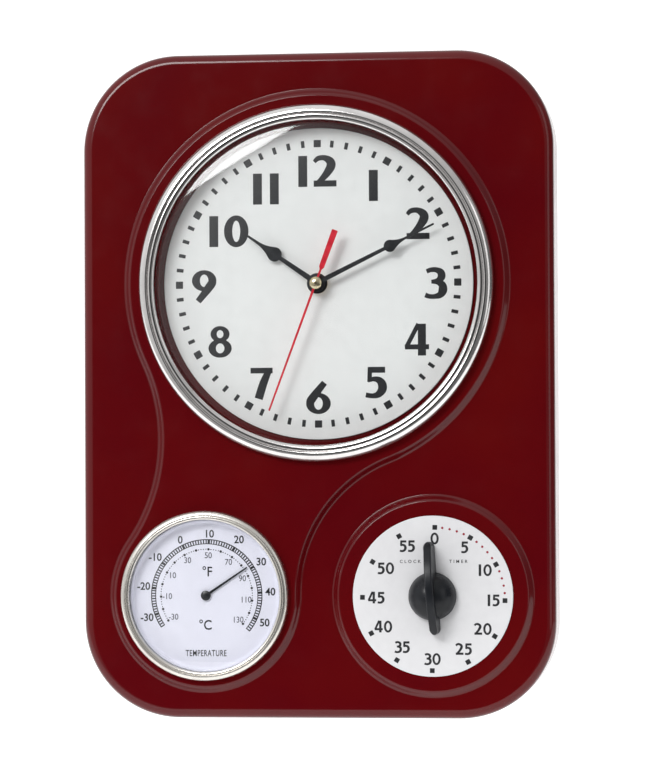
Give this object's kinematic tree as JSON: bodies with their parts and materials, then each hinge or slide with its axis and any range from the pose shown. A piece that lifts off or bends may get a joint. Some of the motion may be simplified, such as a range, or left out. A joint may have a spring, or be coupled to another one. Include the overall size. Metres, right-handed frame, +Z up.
{
  "type": "wall clock",
  "caption": "Retro kitchen wall clock: rounded glossy red case with a chrome-ringed clock dial above a round thermometer and a wind-up 60 minute timer.",
  "frame": {"origin": "on the wall plane, at the centre of the case's outline", "axes": "+X to the right seen from the front, +Z up, the dials face -Y, +Y points into the wall"},
  "size_m": [0.241, 0.0537, 0.338],
  "materials": {
    "enamel": "glossy cherry-red enamel",
    "zinc": "zinc-plated sheet",
    "black_plastic": "fine-grained moulding",
    "screw_steel": "bright zinc plate",
    "chrome": "polished chrome plate",
    "lens": "clear glass",
    "white_print": "white card with dark print",
    "cool_print": "cool white card with dark print",
    "timer_print": "white card with dark print",
    "hand_black": "semi-matt black paint",
    "hand_red": "semi-gloss red paint",
    "brass": "bright brass",
    "cap_brass": "pale brass dome",
    "white_plastic": "natural acetal",
    "grey_steel": "bare steel",
    "copper": "enamelled copper wire",
    "board_green": "printed board",
    "battery_wrap": "plain battery sleeve",
    "rubber_black": "soft rubber",
    "knob_black": "satin black moulding"
  },
  "bodies": {
    "case": {"front_case": "enamel", "cover_tabs": "zinc", "back_cover": "black_plastic", "back_cover_screws": "screw_steel", "hanger_plate": "zinc", "hanger_rivets": "screw_steel", "clock_dial": "white_print", "clock_lens": "lens", "clock_bezel": "chrome", "movement_front_case": "black_plastic", "movement_rear_cover": "black_plastic", "movement_middle_plate": "white_plastic", "stator": "grey_steel", "coil": "copper", "circuit_board": "board_green", "quartz_crystal": "screw_steel", "battery_cell": "battery_wrap", "battery_contacts": "screw_steel", "rubber_washer": "rubber_black", "brass_washer": "brass", "movement_nut": "brass", "thermo_cup": "zinc", "thermo_dial": "cool_print", "bimetal_coil": "copper", "thermo_post": "brass", "thermo_lens": "lens", "thermo_bezel": "chrome", "timer_dial": "timer_print", "timer_nut": "brass", "timer_washer": "screw_steel", "timer_front_plate": "brass", "timer_rear_plate": "brass", "timer_pillars": "brass", "mainspring": "grey_steel", "bell": "screw_steel", "bell_screw": "screw_steel"},
    "minute_hand": {"minute_hand": "hand_black", "minute_arbor": "brass"},
    "hour_hand": {"hour_hand": "hand_black", "hour_wheel": "white_plastic"},
    "reverser": {"reverser_wheel": "white_plastic"},
    "setting_knob": {"setting_knob": "black_plastic"},
    "second_hand": {"second_hand": "hand_red", "hand_cap": "cap_brass", "seconds_wheel": "white_plastic"},
    "fifth_wheel": {"fifth_wheel": "white_plastic"},
    "rotor": {"rotor": "grey_steel"},
    "third_wheel": {"third_wheel": "white_plastic"},
    "centre_wheel": {"centre_wheel": "brass"},
    "thermo_pointer": {"thermo_pointer": "hand_black"},
    "timer_knob": {"timer_knob": "knob_black", "timer_arbor": "grey_steel"},
    "timer_main_wheel": {"timer_main_wheel": "brass"},
    "timer_second_wheel": {"timer_second_wheel": "brass"},
    "timer_third_wheel": {"timer_third_wheel": "brass"},
    "escape_wheel": {"escape_wheel": "brass"},
    "anchor_lever": {"anchor_lever": "grey_steel"},
    "hammer": {"hammer": "grey_steel"}
  },
  "joints": [
    {"name": "minute_hand_turn", "type": "hinge", "parent": "case", "child": "minute_hand", "pos_m": [0, -0.02, 0.0515], "axis": [0, 1, 0], "continuous": true},
    {"name": "hour_hand_turn", "type": "hinge", "parent": "case", "child": "hour_hand", "pos_m": [0, -0.02, 0.0515], "axis": [0, 1, 0], "continuous": true},
    {"name": "reverser_turn", "type": "hinge", "parent": "case", "child": "reverser", "pos_m": [0, -0.02, 0.0605], "axis": [0, 1, 0], "continuous": true},
    {"name": "setting_knob_turn", "type": "hinge", "parent": "case", "child": "setting_knob", "pos_m": [0.0045, -0.02, 0.06829], "axis": [0, 1, 0], "continuous": true},
    {"name": "second_hand_turn", "type": "hinge", "parent": "case", "child": "second_hand", "pos_m": [0, -0.02, 0.0515], "axis": [0, 1, 0], "continuous": true},
    {"name": "fifth_wheel_turn", "type": "hinge", "parent": "case", "child": "fifth_wheel", "pos_m": [0.0075, -0.02, 0.0515], "axis": [0, 1, 0], "continuous": true},
    {"name": "rotor_turn", "type": "hinge", "parent": "case", "child": "rotor", "pos_m": [0.0145, -0.02, 0.0515], "axis": [0, 1, 0], "continuous": true},
    {"name": "third_wheel_turn", "type": "hinge", "parent": "case", "child": "third_wheel", "pos_m": [-0.00886, -0.02, 0.05306], "axis": [0, 1, 0], "continuous": true},
    {"name": "centre_wheel_turn", "type": "hinge", "parent": "case", "child": "centre_wheel", "pos_m": [0, -0.02, 0.0515], "axis": [0, 1, 0], "continuous": true},
    {"name": "thermo_pointer_turn", "type": "hinge", "parent": "case", "child": "thermo_pointer", "pos_m": [-0.0573, -0.03, -0.1068], "axis": [0, 1, 0], "range_deg": [-180, 73], "stiffness_Nm_per_rad": 0.0002},
    {"name": "timer_knob_turn", "type": "hinge", "parent": "case", "child": "timer_knob", "pos_m": [0.0588, -0.03, -0.107], "axis": [0, 1, 0], "range_deg": [0, 354]},
    {"name": "escape_wheel_turn", "type": "hinge", "parent": "case", "child": "escape_wheel", "pos_m": [0.07322, -0.02, -0.09243], "axis": [0, 1, 0], "continuous": true},
    {"name": "timer_third_turn", "type": "hinge", "parent": "case", "child": "timer_third_wheel", "pos_m": [0.06402, -0.02, -0.08908], "axis": [0, 1, 0], "continuous": true},
    {"name": "timer_second_turn", "type": "hinge", "parent": "case", "child": "timer_second_wheel", "pos_m": [0.05299, -0.02, -0.09102], "axis": [0, 1, 0], "continuous": true},
    {"name": "timer_main_turn", "type": "hinge", "parent": "case", "child": "timer_main_wheel", "pos_m": [0.0588, -0.02, -0.107], "axis": [0, 1, 0], "continuous": true},
    {"name": "anchor_swing", "type": "hinge", "parent": "case", "child": "anchor_lever", "pos_m": [0.07869, -0.02, -0.09894], "axis": [0, 1, 0], "range_deg": [-2, 2]},
    {"name": "hammer_swing", "type": "hinge", "parent": "case", "child": "hammer", "pos_m": [0.05101, -0.02, -0.1105], "axis": [0, 1, 0], "range_deg": [-12, 3], "stiffness_Nm_per_rad": 0.0005}
  ],
  "couplings": [
    {"joint": "hour_hand_turn", "follows": "minute_hand_turn", "ratio": 0.083333},
    {"joint": "reverser_turn", "follows": "minute_hand_turn", "ratio": -0.33333},
    {"joint": "setting_knob_turn", "follows": "minute_hand_turn", "ratio": 1},
    {"joint": "fifth_wheel_turn", "follows": "second_hand_turn", "ratio": -5},
    {"joint": "rotor_turn", "follows": "second_hand_turn", "ratio": 30},
    {"joint": "third_wheel_turn", "follows": "second_hand_turn", "ratio": -0.125},
    {"joint": "centre_wheel_turn", "follows": "second_hand_turn", "ratio": 0.016667},
    {"joint": "timer_third_turn", "follows": "escape_wheel_turn", "ratio": -0.16667},
    {"joint": "timer_second_turn", "follows": "escape_wheel_turn", "ratio": 0.027778},
    {"joint": "timer_main_turn", "follows": "escape_wheel_turn", "ratio": -0.0037037}
  ]
}
